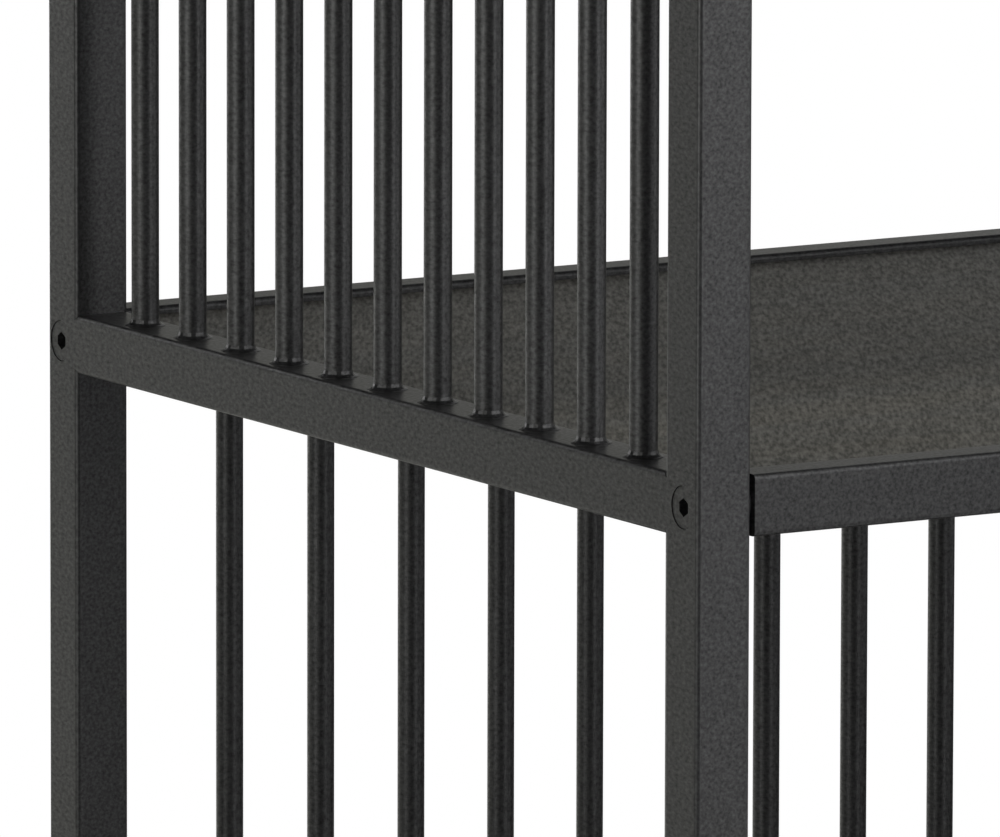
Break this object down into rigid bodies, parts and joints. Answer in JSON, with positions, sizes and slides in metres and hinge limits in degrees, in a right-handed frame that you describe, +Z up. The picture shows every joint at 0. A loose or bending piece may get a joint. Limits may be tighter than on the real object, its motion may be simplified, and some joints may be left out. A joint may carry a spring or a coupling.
{
  "type": "baby crib",
  "caption": "Storage crib of powder-coated square steel tube with a slatted sleeping box, fold-down front gate, two slide latches and two open shelves below.",
  "frame": {"origin": "centre of the crib's footprint, on the floor", "axes": "+X along the crib, -Y the front with the gate, +Z up"},
  "size_m": [1.278, 0.635, 1.1],
  "materials": {
    "frame_coat": "fine-grain dark grey powder coat, half matt",
    "rod_coat": "the same powder coat on round rod",
    "base_coat": "the same powder coat on the mattress base",
    "hinge_steel": "black coated hinge steel",
    "board": "dark grey wood-grain laminate on a flat board",
    "plastic": "black moulded plastic",
    "knob": "black moulded plastic with a fine texture",
    "black_fastener": "black oxide steel",
    "zinc": "zinc-plated steel"
  },
  "bodies": {
    "crib_frame": {"post_front_left": "frame_coat", "post_front_right": "frame_coat", "post_back_left": "frame_coat", "post_back_right": "frame_coat", "post_caps": "plastic", "foot_glides": "plastic", "left_shelf_bar": "frame_coat", "left_foot_bar": "frame_coat", "left_top_rail": "frame_coat", "left_end_rods": "rod_coat", "right_shelf_bar": "frame_coat", "right_foot_bar": "frame_coat", "right_top_rail": "frame_coat", "right_end_rods": "rod_coat", "shelf_rail_front": "frame_coat", "shelf_rail_back": "frame_coat", "shelf_ledges": "frame_coat", "shelf_board": "board", "lower_rail_front": "frame_coat", "lower_rail_back": "frame_coat", "lower_ledges": "frame_coat", "lower_board": "board", "board_screws": "zinc", "rear_grille_rods": "rod_coat", "shelf_bolts": "black_fastener", "shelf_bolt_sleeves": "zinc", "shelf_spacers": "plastic", "shelf_nuts": "zinc", "back_bottom_rail": "frame_coat", "back_top_rail": "frame_coat", "back_stiles": "frame_coat", "back_rods": "rod_coat", "front_bottom_rail": "frame_coat", "front_sill_rail": "frame_coat", "front_stiles": "frame_coat", "front_rods": "rod_coat", "panel_bolts": "black_fastener", "panel_bolt_sleeves": "zinc", "panel_inserts": "plastic", "base_front_tube": "base_coat", "base_back_tube": "base_coat", "base_end_tubes": "base_coat", "base_slats": "base_coat", "base_brackets": "base_coat", "base_screws": "zinc", "hinge_fixed_leaves": "hinge_steel", "hinge_pins": "black_fastener", "sill_rivets": "black_fastener"},
    "gate": {"gate_bottom_rail": "frame_coat", "gate_top_rail": "frame_coat", "gate_stiles": "frame_coat", "gate_rods": "rod_coat", "hinge_gate_leaves": "hinge_steel", "gate_rivets": "black_fastener", "latch_guides": "plastic"},
    "latch_left": {"latch_bolt_left": "zinc", "latch_knob_left": "knob"},
    "latch_right": {"latch_bolt_right": "zinc", "latch_knob_right": "knob"}
  },
  "joints": [
    {"name": "gate_hinge", "type": "hinge", "parent": "crib_frame", "child": "gate", "pos_m": [0, -0.3125, 0.8865], "axis": [1, 0, 0], "range_deg": [0, 170]},
    {"name": "latch_left_slide", "type": "slide", "parent": "gate", "child": "latch_left", "axis": [-1, 0, 0], "range_m": [0, 0.016]},
    {"name": "latch_right_slide", "type": "slide", "parent": "gate", "child": "latch_right", "axis": [1, 0, 0], "range_m": [0, 0.016]}
  ]
}
